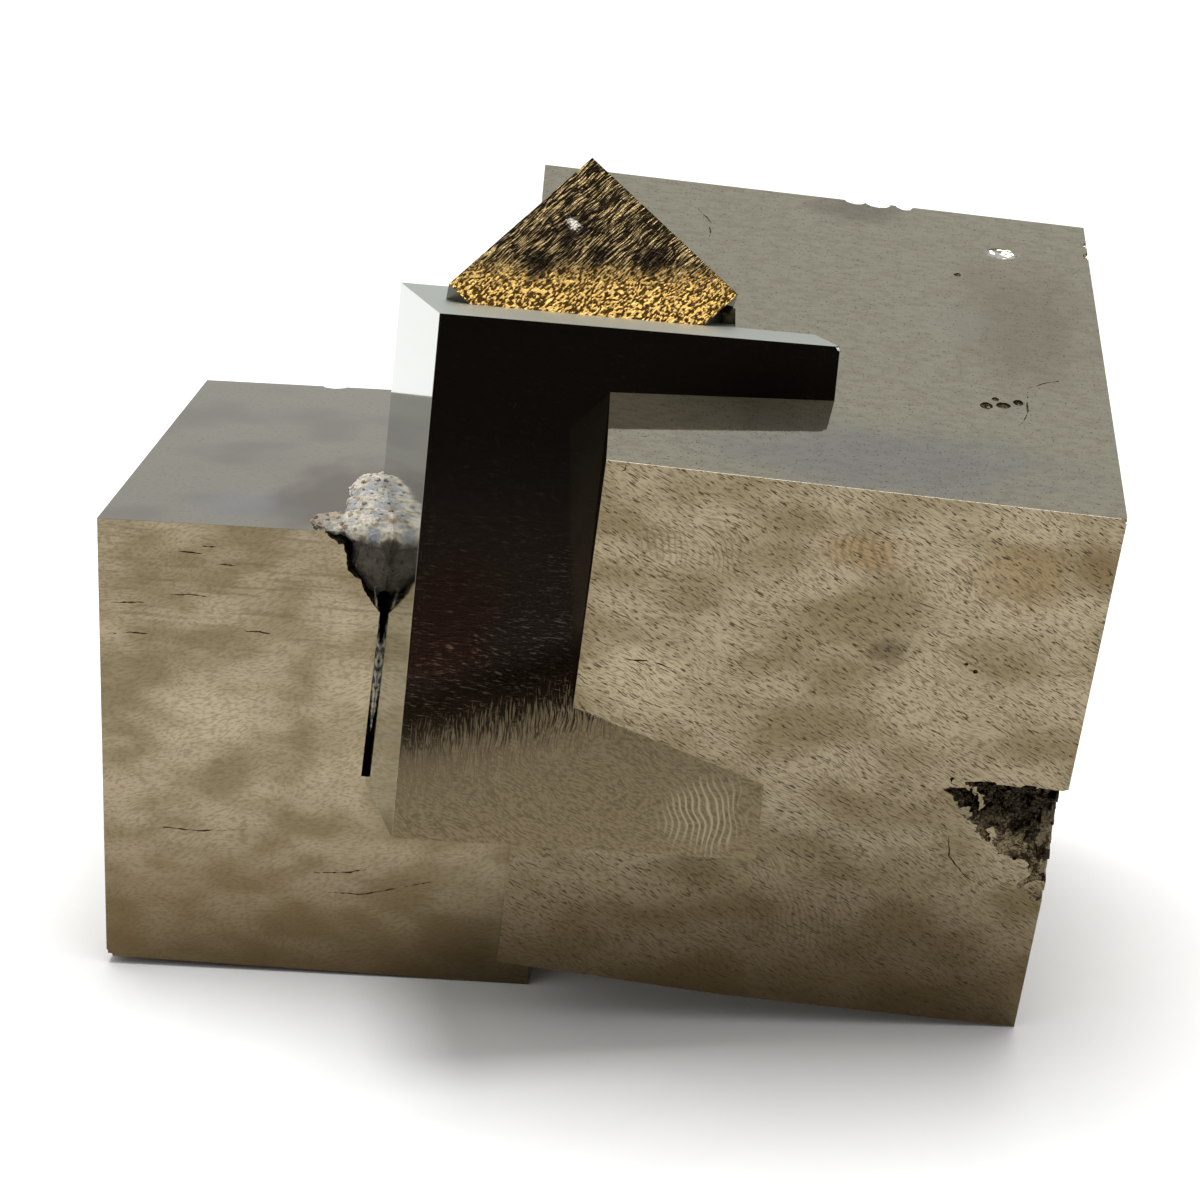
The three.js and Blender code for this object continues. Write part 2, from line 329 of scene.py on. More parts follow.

# %% [markdown]
# The right crystal's front is covered with short dark dashes that all run one way, down to the
# right, and with ripples like fingerprints. Both are traces of how its layers grew. Its foot is
# painted darker: painted shade for the shadowed floor that it mirrors. Its top is smooth enough
# to mirror what stands on it.

# %% Finish of the right crystal
RIGHT_TOP_GREY = "#A39E8B"
MOTTLE_BROWN = "#867F6C"
SPECK_BROWN = "#4A4439"
DASH_BROWN = "#3A2F20"
DASH_LEAN = 28.0
DASH_DEPTH = -0.02
RIGHT_FACE = -15.8
RIGHT_TOP = 16.35
Fingerprint = namedtuple("Fingerprint", "centre spacing place radii")
FINGERPRINTS = (
    Fingerprint((-10.8, RIGHT_FACE, 10.8), 0.3, (-7.4, RIGHT_FACE, 11.9), (2.2, 4.0, 1.8)),
    Fingerprint((-8.6, RIGHT_FACE, 10.6), 0.3, (-4.4, RIGHT_FACE, 11.9), (2.0, 4.0, 2.2)),
    Fingerprint((5.6, RIGHT_FACE, 13.2), 0.42, (2.5, RIGHT_FACE, 12.7), (2.8, 4.0, 1.6)),
    Fingerprint((-3.0, RIGHT_FACE, -12.0), 0.3, (2.4, RIGHT_FACE, -10.7), (4.5, 4.0, 3.0)),
)
FRONT_STAINS = (
    ((2.5, RIGHT_FACE, 12.7), (2.8, 4.0, 1.5), "#8A6F48"),
    ((10.8, RIGHT_FACE, 12.3), (3.5, 4.0, 2.6), "#87714F"),
    ((14.6, RIGHT_FACE, 13.4), (1.6, 4.0, 1.6), "#6E5A3D"),
    ((4.7, RIGHT_FACE, 6.9), (1.5, 4.0, 1.2), "#4F4331"),
    ((-8.0, RIGHT_FACE, 3.5), (4.0, 4.0, 3.0), "#B0A386"),
)
TOP_STAINS = (
    ((3.0, -12.5, RIGHT_TOP), (13.0, 4.5, 1.0), "#7F7F85"),
    ((2.5, 14.8, RIGHT_TOP), (4.0, 2.2, 1.0), "#6B655A"),
    ((11.0, 3.5, RIGHT_TOP), (5.5, 9.0, 1.0), "#7D7563"),
    ((7.6, 2.6, RIGHT_TOP), (2.6, 3.2, 1.0), "#A3A091"),
    ((10.4, 11.4, RIGHT_TOP), (1.2, 0.55, 0.6), "#F6F4F0"),
)
RIGHT_CLOUDS = {"size": (5.0, 5.0, 3.0), "low": 0.35, "high": 0.7}
RIGHT_WAVER = {"size": 3.0, "by": 1.5}
RIGHT_STROKES = {"size": (0.4, 0.4, 0.085), "low": 0.42, "high": 0.66, "lean": DASH_LEAN}
RIGHT_DASHES = {"size": (0.42, 0.42, 0.055), "low": 0.69, "high": 0.75, "lean": DASH_LEAN, "detail": 0.0}
# Painted shade: where the front turns darker towards its foot.
RIGHT_FOOT_SHADE_FALL = (-2.0, -17.0)
RIGHT_MOTTLE = {"size": (0.7, 0.35, 0.5), "low": 0.35, "high": 0.75, "detail": 2.0}
RIGHT_SPECKS = {"size": (0.13, 0.13, 0.13), "low": 0.7, "high": 0.76, "detail": 0.0}


def fingerprints(tree, here):
    """The ripples of each fingerprint, kept to the place where it shows."""
    rings = []
    for mark in FINGERPRINTS:
        window = spot(tree, here, mark.place, mark.radii)
        rings.append(times(tree, window, ripples(tree, here, mark.centre, mark.spacing)))
    return rings


def right_crystal_face():
    """Satin pyrite with short dashes: a tan sheen broken by dark flecks and faint ripples."""
    material, tree, shader = new_finish("Pyrite, satin face with dashes", SATIN)
    here = in_crystal(tree, RIGHT)
    front = facing(tree, RIGHT, FRONT)
    top = facing(tree, RIGHT, TOP)
    strokes = patches(tree, bent(tree, here, **RIGHT_WAVER), **RIGHT_STROKES)
    dashes = times(tree, front, patches(tree, here, **RIGHT_DASHES))
    on_front = [
        (strokes, 0.55, STROKE_BROWN),
        *((rings, 0.45, STROKE_BROWN) for rings in fingerprints(tree, here)),
    ]
    on_top = [
        (EVERYWHERE, 1.0, RIGHT_TOP_GREY),
        (patches(tree, here, **RIGHT_MOTTLE), 0.5, MOTTLE_BROWN),
        *((spot(tree, here, *place), 0.5, tint) for *place, tint in TOP_STAINS),
        (patches(tree, here, **RIGHT_SPECKS), 0.6, SPECK_BROWN),
    ]
    coats = [
        (patches(tree, here, **RIGHT_CLOUDS), 1.0, FRONT_BROWN),
        *((spot(tree, here, *place), 0.6, tint) for *place, tint in FRONT_STAINS),
        *only_on(tree, front, on_front),
        (dashes, 0.85, DASH_BROWN),
        # Painted shade at the foot.
        (fade(tree, height_in(tree, here), *RIGHT_FOOT_SHADE_FALL), 0.75, FOOT_SHADE_BROWN),
        *only_on(tree, top, on_top),
    ]
    tree.links.new(coated(tree, FRONT_TAN, coats), shader.inputs["Base Color"])
    tree.links.new(between(tree, front, POLISHED, SATIN), shader.inputs["Roughness"])
    tree.links.new(relief(tree, [(dashes, DASH_DEPTH)]), shader.inputs["Normal"])
    return material


right_pyrite = right_crystal_face()
print("finish:", right_pyrite.name)

# %% [markdown]
# The middle block has the brightest faces, almost mirrors. Faced by a dark room they look
# black. Near the foot the front is matt and granular, so it shows the floor as a blur, and
# hair-fine scratches feather the edge between the two. The strip of its top is dull.

# %% Finish of the middle block
MIRROR = 0.06
MATT = 0.34
TOP_MATT = 0.5
DASH_MATT = 0.25
MIRROR_GREY = "#A6ABA4"
FRONT_GREY = "#8A857C"
LOWER_TAN = "#C2B8A9"
FILM_RED = "#D59A86"
ARM_GREY = "#605B53"
DIM_BROWN = "#7A6B55"
FOOT_TAN = "#938467"
GRAIN_BROWN = "#5C4F3A"
RING_PALE = "#B5A98D"
MATT_EDGE = -6.4
MATT_EDGE_SLANT = (-0.4, 0.0, 1.0)
FEATHER = 4.0
DIM_FALL = (MATT_EDGE + FEATHER + 1.5, MATT_EDGE + FEATHER - 0.5)
LOWER_FALL = (9.0, 0.0)
MIDDLE_FACE = -9.05
MIDDLE_RINGS = {"centre": (-1.0, MIDDLE_FACE, -12.6), "spacing": 0.34}
MIDDLE_RING_PLACE = ((5.8, MIDDLE_FACE, -11.4), (2.9, 4.0, 2.6))
RED_FILM = ((-8.6, MIDDLE_FACE, -3.6), (4.2, 4.0, 6.5))
DARK_ARM = ((7.0, MIDDLE_FACE, 7.6), (9.0, 4.0, 7.0))
DARK_ARM_RAGGED = 0.3
HAIR_WAVER = {"size": 1.5, "by": 0.4}
HAIRS = {"size": (0.07, 0.07, 1.4), "low": 0.25, "high": 0.75, "detail": 2.0}
GRAIN_WAVER = {"size": 2.0, "by": 0.8}
FOOT_GRAINS = {"size": (0.3, 0.3, 0.09), "low": 0.38, "high": 0.68, "lean": 24.0, "detail": 2.0}
MIDDLE_DASHES = {"size": (0.4, 0.4, 0.04), "low": 0.7, "high": 0.76, "lean": 8.0, "detail": 0.0}


def middle_block_face():
    """Mirror pyrite: near black where it faces the dark, and a matt, granular foot."""
    material, tree, shader = new_finish("Pyrite, mirror face", MIRROR)
    here = in_crystal(tree, MIDDLE)
    front = facing(tree, MIDDLE, FRONT)
    above = along_axis(tree, here, MATT_EDGE_SLANT)
    hairs = patches(tree, bent(tree, here, **HAIR_WAVER), **HAIRS)
    feathered = worked(tree, "MULTIPLY_ADD", hairs, FEATHER, above)
    foot = times(tree, front, fade(tree, feathered, MATT_EDGE + FEATHER, MATT_EDGE))
    rings = times(tree, spot(tree, here, *MIDDLE_RING_PLACE), ripples(tree, here, **MIDDLE_RINGS))
    on_front = [
        (EVERYWHERE, 1.0, FRONT_GREY),
        (fade(tree, height_in(tree, here), *LOWER_FALL), 1.0, LOWER_TAN),
        (spot(tree, here, *RED_FILM), 0.6, FILM_RED),
        (spot(tree, here, *DARK_ARM, ragged=DARK_ARM_RAGGED), 1.0, ARM_GREY),
        (fade(tree, above, *DIM_FALL), 1.0, DIM_BROWN),
    ]
    on_foot = [
        (EVERYWHERE, 1.0, FOOT_TAN),
        (patches(tree, bent(tree, here, **GRAIN_WAVER), **FOOT_GRAINS), 0.6, GRAIN_BROWN),
        (rings, 1.0, RING_PALE),
    ]
    coats = only_on(tree, front, on_front) + only_on(tree, foot, on_foot)
    tree.links.new(coated(tree, MIRROR_GREY, coats), shader.inputs["Base Color"])
    dashes = times(tree, front, patches(tree, here, **MIDDLE_DASHES))
    dull = worked(tree, "MAXIMUM", foot, times(tree, dashes, DASH_MATT))
    top_matt = times(tree, facing(tree, MIDDLE, TOP), TOP_MATT)
    rough = worked(tree, "MAXIMUM", between(tree, dull, MIRROR, MATT), top_matt)
    tree.links.new(rough, shader.inputs["Roughness"])
    return material


middle_pyrite = middle_block_face()
print("finish:", middle_pyrite.name)

# %% [markdown]
# The small cube's front is streaked along one edge. Its upper half is dark brown with black
# blotches, and its lower half is the brassiest part of the specimen, granular and bright. Its
# sides are plain and bright.

# %% Finish of the small cube
STREAKED = 0.36
SIDE_GREY = "#8C8778"
STREAK_DARK = "#1B150D"
STREAK_TAN = "#A08A60"
GOLD_DARK = "#3E2D12"
GOLD_BRIGHT = "#D2AA62"
BLOTCH_BLACK = "#0D0A08"
FLECK_GREY = "#B4AEA2"
SMALL_FACE = -5.44
DOWNHILL = (0.707, 0.0, -0.707)
GOLD_RISE = (-1.9, 0.3)
BLOTCHES = (
    ((-3.2, SMALL_FACE, 1.6), (1.2, 3.0, 1.8)),
    ((-3.0, SMALL_FACE, -1.2), (1.1, 3.0, 1.5)),
    ((0.9, SMALL_FACE, 3.5), (1.2, 3.0, 1.3)),
    ((-1.2, SMALL_FACE, 1.6), (0.8, 3.0, 1.0)),
)
BLOTCH_RAGGED = 1.4
FLECK = ((-3.4, SMALL_FACE, 1.9), (0.5, 3.0, 0.35))
FLECK_RAGGED = 1.6
STREAK_WAVER = {"size": 1.2, "by": 0.25}
STREAKS = {"size": (0.07, 0.07, 1.1), "low": 0.5, "high": 0.66}
STREAK_HEIGHT = 0.015
GOLD_GRAINS = {"size": (0.12, 0.12, 0.24), "low": 0.44, "high": 0.6}
GOLD_GRAIN_HEIGHT = 0.02


def small_cube_face():
    """Streaked pyrite: dark with gold streaks above, granular bright gold below."""
    material, tree, shader = new_finish("Pyrite, streaked gold face", STREAKED)
    here = in_crystal(tree, SMALL)
    front = facing(tree, SMALL, FRONT)
    golden = fade(tree, along_axis(tree, here, DOWNHILL), *GOLD_RISE)
    wavering = bent(tree, here, **STREAK_WAVER)
    streaks = times(tree, front, patches(tree, wavering, **STREAKS))
    grains = times(tree, front, patches(tree, wavering, **GOLD_GRAINS))
    coats = [
        (front, 1.0, STREAK_DARK),
        (streaks, 1.0, STREAK_TAN),
        (times(tree, front, golden), 1.0, GOLD_DARK),
        (times(tree, golden, grains), 1.0, GOLD_BRIGHT),
        *((spot(tree, here, *place, ragged=BLOTCH_RAGGED), 0.9, BLOTCH_BLACK) for place in BLOTCHES),
        (spot(tree, here, *FLECK, ragged=FLECK_RAGGED), 1.0, FLECK_GREY),
    ]
    tree.links.new(coated(tree, SIDE_GREY, coats), shader.inputs["Base Color"])
    tree.links.new(between(tree, front, MIRROR, STREAKED), shader.inputs["Roughness"])
    heights = [(streaks, STREAK_HEIGHT), (grains, GOLD_GRAIN_HEIGHT)]
    tree.links.new(relief(tree, heights), shader.inputs["Normal"])
    return material


small_pyrite = small_cube_face()
print("finish:", small_pyrite.name)

# %% [markdown]
# Where pyrite breaks it has no cleavage: the break is rough and dark, and it comes off in
# small plates, some of which still shine. The walls of cracks, pits and the pocket are painted
# near black: painted shade for the hollows.

# %% Finishes of broken pyrite and of crevices
BROKEN = 0.4
BROKEN_DARK = "#221C14"
CHIP_BROWN = "#54493A"
PLATE_TAN = "#85785E"
SCAR_PLATE = 0.9
ALONG_FACE = (1.0, 0.0, 1.0)
CHIPS = {"size": (0.25, 0.25, 0.15), "low": 0.4, "high": 0.65}
CHIP_HEIGHT = 0.05
PLATES_FALL = (-2.2, -5.0)
PLATES_SHINE = (0.45, 0.5)
CREVICE = 0.5
# Painted shade: the near-black walls of cracks, pits and the pocket.
CREVICE_SHADE_DARK = "#2A2319"
CREVICE_SHADE_BROWN = "#5A4E3B"
CREVICE_GRAINS = {"size": (0.15, 0.15, 0.15), "low": 0.4, "high": 0.7}


def plates(tree, here):
    """A random value for each plate of the break, the same in a finish and in a recipe."""
    wires = {0: here, 1: ALONG_FACE}
    flat = add(tree, "ShaderNodeVectorMath", wires, operation="MULTIPLY").outputs["Vector"]
    wires = {"Vector": flat, "Scale": 1 / SCAR_PLATE, "Detail": 1.0}
    cells = add(tree, "ShaderNodeTexVoronoi", wires)
    return add(tree, "ShaderNodeSeparateXYZ", {0: cells.outputs["Color"]}).outputs["X"]


def broken_face():
    """Broken pyrite: dark and hackly at the top of the break, with tan plates lower down."""
    material, tree, shader = new_finish("Pyrite, broken", BROKEN)
    here = in_crystal(tree, RIGHT)
    chips = patches(tree, here, **CHIPS)
    low_down = fade(tree, height_in(tree, here), *PLATES_FALL)
    shining = times(tree, low_down, fade(tree, plates(tree, here), *PLATES_SHINE))
    coats = [(chips, 0.6, CHIP_BROWN), (shining, 1.0, PLATE_TAN)]
    tree.links.new(coated(tree, BROKEN_DARK, coats), shader.inputs["Base Color"])
    tree.links.new(relief(tree, [(chips, CHIP_HEIGHT)]), shader.inputs["Normal"])
    return material


def crevice_wall():
    """The wall of a crack or pit: rough and dark brown, a painted shade for the hollow."""
    material, tree, shader = new_finish("Pyrite, crevice", CREVICE)
    here = in_crystal(tree, LEFT)
    coats = [(patches(tree, here, **CREVICE_GRAINS), 1.0, CREVICE_SHADE_BROWN)]
    tree.links.new(coated(tree, CREVICE_SHADE_DARK, coats), shader.inputs["Base Color"])
    return material


broken_pyrite = broken_face()
crevice_painted_shade = crevice_wall()
print("finishes:", broken_pyrite.name, "and", crevice_painted_shade.name)

# %% [markdown]
# Marl is a soft, chalky stone with no shine at all. Here it is off-white with grey and brown
# stains on top, and painted dark below the pocket's rim: painted shade for the part that the
# pocket keeps from the light. A little of it fills the crack too.

# %% Finishes of the marl
CHALKY = 0.95
MARL_WHITE = "#CFC8B9"
MARL_GREY = "#A4A7A9"
MARL_BROWN = "#A08F78"
MARL_STAIN_BROWN = "#8F7D64"
# Painted shade: the dark brown of the marl below the pocket's rim.
MARL_POCKET_SHADE = "#3F382D"
CRUMB_BROWN = "#6B6152"
MARL_GREY_PATCHES = {"size": (1.0, 1.2, 1.0), "low": 0.42, "high": 0.62}
MARL_BROWN_PATCHES = {"size": (0.6, 0.6, 0.6), "low": 0.55, "high": 0.68}
MARL_STAIN = ((0.2, -12.0, 12.9), (1.8, 2.5, 1.5))
MARL_WAVER = {"size": 0.5, "by": 0.9}
MARL_POCKET_SHADE_FALL = (13.1, 12.6)
MARL_GRAINS = {"size": (0.2, 0.2, 0.2), "low": 0.3, "high": 0.7}
MARL_GRAIN_HEIGHT = 0.05
PRESSED = 0.8
FILLING_GREY = "#BDB5A4"
FILLING_BROWN = "#4A4336"
FILLING_GRAINS = {"size": (0.2, 0.2, 0.35), "low": 0.42, "high": 0.62}


def marl_surface():
    """Marl: dull off-white crumbs with grey and brown stains."""
    material, tree, shader = new_finish("Marl, crumbly", CHALKY, metallic=0.0)
    here = in_crystal(tree, LEFT)
    height = height_in(tree, bent(tree, here, **MARL_WAVER))
    grains = patches(tree, here, **MARL_GRAINS)
    coats = [
        (patches(tree, here, **MARL_GREY_PATCHES), 1.0, MARL_GREY),
        (patches(tree, here, **MARL_BROWN_PATCHES), 1.0, MARL_BROWN),
        (spot(tree, here, *MARL_STAIN), 0.7, MARL_STAIN_BROWN),
        # Painted shade: darker below the pocket's rim.
        (fade(tree, height, *MARL_POCKET_SHADE_FALL), 0.95, MARL_POCKET_SHADE),
        (grains, 0.3, CRUMB_BROWN),
    ]
    tree.links.new(coated(tree, MARL_WHITE, coats), shader.inputs["Base Color"])
    tree.links.new(relief(tree, [(grains, MARL_GRAIN_HEIGHT)]), shader.inputs["Normal"])
    return material


def crack_filling():
    """Marl pressed into a crack: dull, mottled grey."""
    material, tree, shader = new_finish("Marl, in a crack", PRESSED, metallic=0.0)
    here = in_crystal(tree, LEFT)
    coats = [(patches(tree, here, **FILLING_GRAINS), 1.0, FILLING_BROWN)]
    tree.links.new(coated(tree, FILLING_GREY, coats), shader.inputs["Base Color"])
    return material


marl = marl_surface()
crack_marl = crack_filling()
print("finishes:", marl.name, "and", crack_marl.name)

# %% [markdown]
# A crystal that grows in steps is a few blocks that share one frame. Real edges are never quite
# sharp, so each block gets a hair of wear along its edges, which catches a thin line of light.
# Blocks are joined and cut with exact solid operations, as the solids of the part were.

# %% Blocks, joins and cuts
EDGE_WEAR = 0.012
EDGE_ROUNDING_STEPS = 2
OUTSIDE = 3.0


def show(name, mesh):
    """Puts a mesh into the scene as an object."""
    thing = bpy.data.objects.new(name, mesh)
    scene.collection.objects.link(thing)
    return thing


def remove(thing):
    """Takes an object and its mesh out again."""
    mesh = thing.data
    bpy.data.objects.remove(thing)
    bpy.data.meshes.remove(mesh)


def settle(thing):
    """Turns what an object's modifiers make into its own plain mesh."""
    graph = bpy.context.evaluated_depsgraph_get()
    made = bpy.data.meshes.new_from_object(thing.evaluated_get(graph))
    before = thing.data
    thing.modifiers.clear()
    thing.data = made
    bpy.data.meshes.remove(before)
    return thing


def combine(base, other, operation):
    """Joins, cuts or keeps the shared part of two solids; the second one is used up."""
    change = base.modifiers.new(operation.title(), "BOOLEAN")
    change.operation = operation
    change.object = other
    change.solver = "MANIFOLD"
    change.material_mode = "TRANSFER"
    settle(base)
    remove(other)
    return base


def block(crystal, low, high, material, wear=EDGE_WEAR):
    """A block along a crystal's own axes, with worn edges."""
    low, high = Vector(low), Vector(high)
    shape = bmesh.new()
    bmesh.ops.create_cube(shape, size=1.0)
    bmesh.ops.scale(shape, vec=high - low, verts=shape.verts)
    bmesh.ops.translate(shape, vec=(low + high) / 2, verts=shape.verts)
    if wear:
        rounding = {"offset": wear, "segments": EDGE_ROUNDING_STEPS, "profile": 0.5, "affect": "EDGES"}
        bmesh.ops.bevel(shape, geom=shape.edges[:], **rounding)
    mesh = bpy.data.meshes.new("block")
    shape.to_mesh(mesh)
    shape.free()
    mesh.transform(frame_of(crystal))
    mesh.materials.append(material)
    return show("block", mesh)


# %% [markdown]
# Geometry Nodes make what follows a rule or a path: the broken corner, the cracks, the pits
# and the crumbly lump. A recipe is a node tree with named inputs. It is followed once, and its
# result becomes a plain mesh.

# %% Recipes made of geometry nodes
def new_recipe(name, inputs):
    """A geometry node tree with these named inputs, given as name and kind of socket."""
    tree = bpy.data.node_groups.new(name, "GeometryNodeTree")
    tree.interface.new_socket("Geometry", in_out="INPUT", socket_type="NodeSocketGeometry")
    for label, kind in inputs.items():
        tree.interface.new_socket(label, in_out="INPUT", socket_type=f"NodeSocket{kind}")
    tree.interface.new_socket("Geometry", in_out="OUTPUT", socket_type="NodeSocketGeometry")
    return tree, add(tree, "NodeGroupInput").outputs


def end_recipe(tree, made, material):
    """Ends a recipe with real geometry in its finish."""
    real = add(tree, "GeometryNodeRealizeInstances", {"Geometry": made})
    wires = {"Geometry": real.outputs["Geometry"], "Material": material}
    finished = add(tree, "GeometryNodeSetMaterial", wires)
    add(tree, "NodeGroupOutput", {"Geometry": finished.outputs["Geometry"]})
    return tree


def follow(recipe, start, crystal, **values):
    """Follows a recipe in a crystal's own frame and returns the result as a plain object."""
    thing = show(recipe.name, start)
    change = thing.modifiers.new(recipe.name, "NODES")
    change.node_group = recipe
    for socket in recipe.interface.items_tree:
        if socket.name in values:
            change[socket.identifier] = values[socket.name]
    settle(thing)
    thing.data.transform(frame_of(crystal))
    return thing


def points(places):
    """A mesh of loose points that carry radii, given as place and radii."""
    mesh = bpy.data.meshes.new("points")
    mesh.from_pydata([place for place, _ in places], [], [])
    layer = mesh.attributes.new("radii", "FLOAT_VECTOR", "POINT")
    for point, (_, radii) in zip(layer.data, places):
        point.vector = radii
    return mesh


def balls_on(tree, places, detail):
    """A ball on each point, as large as the point's radii."""
    ball = add(tree, "GeometryNodeMeshIcoSphere", {"Radius": 1.0, "Subdivisions": detail})
    radii = add(tree, "GeometryNodeInputNamedAttribute", {"Name": "radii"}, data_type="FLOAT_VECTOR")
    wires = {"Points": places, "Instance": ball.outputs["Mesh"], "Scale": radii.outputs["Attribute"]}
    balls = add(tree, "GeometryNodeInstanceOnPoints", wires).outputs["Instances"]
    return add(tree, "GeometryNodeRealizeInstances", {"Geometry": balls}).outputs["Geometry"]


def pushed(tree, geometry, direction, by):
    """Moves each point of a shape along a direction of its own."""
    offset = add(tree, "ShaderNodeVectorMath", {0: direction, "Scale": by}, operation="SCALE")
    wires = {"Geometry": geometry, "Offset": offset.outputs["Vector"]}
    return add(tree, "GeometryNodeSetPosition", wires).outputs["Geometry"]


def roughened(tree, geometry, size, depth, seed):
    """Moves the surface in and out along its normal by noise of that size and depth."""
    where = add(tree, "GeometryNodeInputPosition").outputs[0]
    wires = {"Vector": where, "W": seed, "Scale": 1 / size, "Detail": 2.0}
    bumps = add(tree, "ShaderNodeTexNoise", wires, noise_dimensions="4D")
    swing = between(tree, bumps.outputs["Fac"], -1.0, 1.0)
    outward = add(tree, "GeometryNodeInputNormal").outputs[0]
    return pushed(tree, geometry, outward, times(tree, swing, depth))


# %% [markdown]
# A pit is a rough little ball taken out of the face. The balls are instanced on points, one
# for each pit that the specimen shows.

# %% Recipe for pits
PIT_BALL_DETAIL = 3
PIT_GRAIN = 0.3
PIT_ROUGHNESS = 0.12
PIT_SEED = 1.0


def pit_recipe():
    """Rough balls on points, sized by the points' radii."""
    tree, given = new_recipe("Pits", {"Ball detail": "Int", "Finish": "Material"})
    balls = balls_on(tree, given["Geometry"], given["Ball detail"])
    rough = roughened(tree, balls, PIT_GRAIN, PIT_ROUGHNESS, PIT_SEED)
    return end_recipe(tree, rough, given["Finish"])


pits = pit_recipe()


def pitted(body, crystal, places, finish):
    """Takes pits out of a crystal, given as place and radii in its own frame."""
    values = {"Ball detail": PIT_BALL_DETAIL, "Finish": finish}
    cutter = follow(pits, points(places), crystal, **values)
    return combine(body, cutter, "DIFFERENCE")


# %% [markdown]
# A crack follows a path over a face. The recipe bends the path a little, gives it a width that
# runs out at both ends and cuts a groove along it.

# %% Recipe for cracks
CRACK_STEP = 0.12
CRACK_BEND_SIZE = 0.8
CRACK_END = 0.2
CRACK_GRAIN = 0.25
CRACK_ROUGHNESS = 0.6
CRACK_SEED = 1.0


def crack_recipe():
    """A narrow, rough spindle with a square section along a path."""
    tree, given = new_recipe("Cracks", {"Half width": "Float", "Bend": "Float", "Finish": "Material"})
    curve = add(tree, "GeometryNodeMeshToCurve", {"Mesh": given["Geometry"]})
    wires = {"Curve": curve.outputs["Curve"], "Length": CRACK_STEP}
    fine = add(tree, "GeometryNodeResampleCurve", wires, mode="LENGTH")
    where = add(tree, "GeometryNodeInputPosition").outputs[0]
    wires = {0: cloud(tree, where, CRACK_BEND_SIZE, detail=2.0)["Color"], 1: (0.5, 0.5, 0.5)}
    sway = add(tree, "ShaderNodeVectorMath", wires, operation="SUBTRACT").outputs["Vector"]
    swaying = pushed(tree, fine.outputs["Curve"], sway, given["Bend"])
    share = add(tree, "GeometryNodeSplineParameter").outputs["Factor"]
    swell = worked(tree, "SINE", times(tree, share, math.pi))
    wires = {"Resolution": 4, "Radius": given["Half width"]}
    square = add(tree, "GeometryNodeCurvePrimitiveCircle", wires)
    wires = {
        "Curve": swaying,
        "Profile Curve": square.outputs["Curve"],
        "Scale": between(tree, swell, CRACK_END, 1.0),
        "Fill Caps": True,
    }
    groove = add(tree, "GeometryNodeCurveToMesh", wires).outputs["Mesh"]
    depth = times(tree, given["Half width"], CRACK_ROUGHNESS)
    rough = roughened(tree, groove, CRACK_GRAIN, depth, CRACK_SEED)
    return end_recipe(tree, rough, given["Finish"])


cracks = crack_recipe()


def along(path, crystal, half_width, bend, finish):
    """A rough spindle along a path, given as points in the crystal's own frame."""
    mesh = bpy.data.meshes.new("crack path")
    mesh.from_pydata(path, [(i, i + 1) for i in range(len(path) - 1)], [])
    values = {"Half width": half_width, "Bend": bend, "Finish": finish}
    return follow(cracks, mesh, crystal, **values)


def cracked(body, crystal, paths, half_width, bend):
    """Cuts a groove along each path."""
    for path in paths:
        combine(body, along(path, crystal, half_width, bend, crevice_painted_shade), "DIFFERENCE")
    return body


# %% [markdown]
# The scar on the right crystal is where a corner broke away. Its depth follows a rule: it drops
# from a ledge at the top and grows with the distance from the line where the break began. The
# recipe is the piece that broke off: a slab in front of the face, with a hackly back.

# %% Recipe for the broken corner
SCAR_TIP = Vector((9.3, -0.9))
SCAR_FOOT = Vector((15.1, -7.4))
SCAR_LEDGE = -0.45
SCAR_LEDGE_SLOPE = 4.0
SCAR_SLOPE = 0.5
SCAR_CELL = 0.12
SCAR_PLATE_STEP = 0.45
SCAR_INSET = 0.2
SCAR_WAVER = 0.7
SCAR_GRAIN = 0.35
SCAR_GRAIN_DEPTH = 0.25


